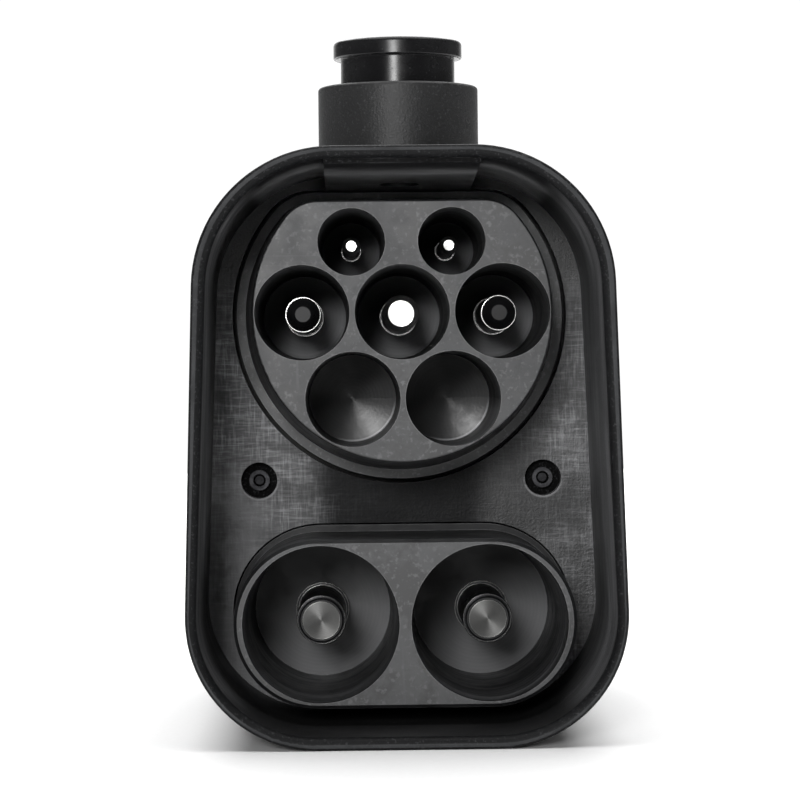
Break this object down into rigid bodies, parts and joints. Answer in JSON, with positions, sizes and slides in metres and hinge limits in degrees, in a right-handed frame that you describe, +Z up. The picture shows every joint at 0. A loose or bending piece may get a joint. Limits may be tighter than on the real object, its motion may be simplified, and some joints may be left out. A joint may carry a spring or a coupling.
{
  "type": "electric vehicle charging adapter",
  "caption": "Hand-held charging adapter with a deep rounded inlet for a combined connector at the front, a combined plug with a latch lever behind and a lock knob on top.",
  "frame": {"origin": "centre of the footprint, on the table", "axes": "+Z up, the inlet of the picture faces -Y, the plug points along +Y, +X is to the right in the picture"},
  "size_m": [0.0686, 0.158, 0.113],
  "materials": {
    "housing_plastic": "fine grained moulded black",
    "contact_plastic": "moulded black, satin boss faces",
    "knob_plastic": "polished black",
    "cap_plastic": "smooth black finger guard",
    "seal_rubber": "dull black sheet",
    "contact_silver": "turned, silver plated",
    "socket_silver": "turned, silver plated",
    "screw_steel": "zinc plated",
    "ground_steel": "ground",
    "spring_steel": "drawn wire",
    "bush_brass": "turned",
    "bar_copper": "punched copper bar",
    "board": "green lacquered board",
    "latch_plastic": "moulded black",
    "wire_brown": "wire covering",
    "wire_blue": "wire covering",
    "wire_green": "wire covering",
    "wire_white": "wire covering",
    "wire_black": "wire covering"
  },
  "bodies": {
    "adapter_body": {"front_housing": "housing_plastic", "rear_housing": "housing_plastic", "contact_insert": "contact_plastic", "rear_insulator": "contact_plastic", "line_pin_cap": "cap_plastic", "neutral_pin_cap": "cap_plastic", "dc_cap_left": "cap_plastic", "dc_cap_right": "cap_plastic", "insert_gasket": "seal_rubber", "housing_seal": "seal_rubber", "rear_gasket": "seal_rubber", "line_pin": "contact_silver", "neutral_pin": "contact_silver", "earth_pin": "contact_silver", "pilot_pin": "contact_silver", "proximity_pin": "contact_silver", "dc_pin_left": "contact_silver", "dc_pin_right": "contact_silver", "line_socket": "socket_silver", "neutral_socket": "socket_silver", "earth_socket": "socket_silver", "pilot_socket": "socket_silver", "proximity_socket": "socket_silver", "dc_socket_left": "socket_silver", "dc_socket_right": "socket_silver", "floor_screws": "screw_steel", "housing_screws": "screw_steel", "insulator_screws": "screw_steel", "lock_stop_screw": "screw_steel", "dc_nuts": "screw_steel", "latch_pin": "ground_steel", "lock_spring": "spring_steel", "latch_spring": "spring_steel", "lock_bush": "bush_brass", "busbar_left": "bar_copper", "busbar_right": "bar_copper", "coding_board": "board", "line_wire": "wire_brown", "neutral_wire": "wire_blue", "earth_wire": "wire_green", "pilot_wire": "wire_white", "proximity_wire": "wire_black"},
    "lock_plunger": {"lock_knob": "knob_plastic", "lock_pin": "ground_steel"},
    "latch": {"latch_lever": "latch_plastic"}
  },
  "joints": [
    {"name": "lock_slide", "type": "slide", "parent": "adapter_body", "child": "lock_plunger", "axis": [0, 0, 1], "range_m": [-0.0041, 0], "stiffness_N_per_m": 1500, "springref_m": 0.002, "deforming": ["lock_spring"]},
    {"name": "latch_hinge", "type": "hinge", "parent": "adapter_body", "child": "latch", "pos_m": [0, 0.031, 0.0902], "axis": [1, 0, 0], "range_deg": [0, 9], "stiffness_Nm_per_rad": 0.3, "springref_deg": -5.73, "deforming": ["latch_spring"]}
  ]
}
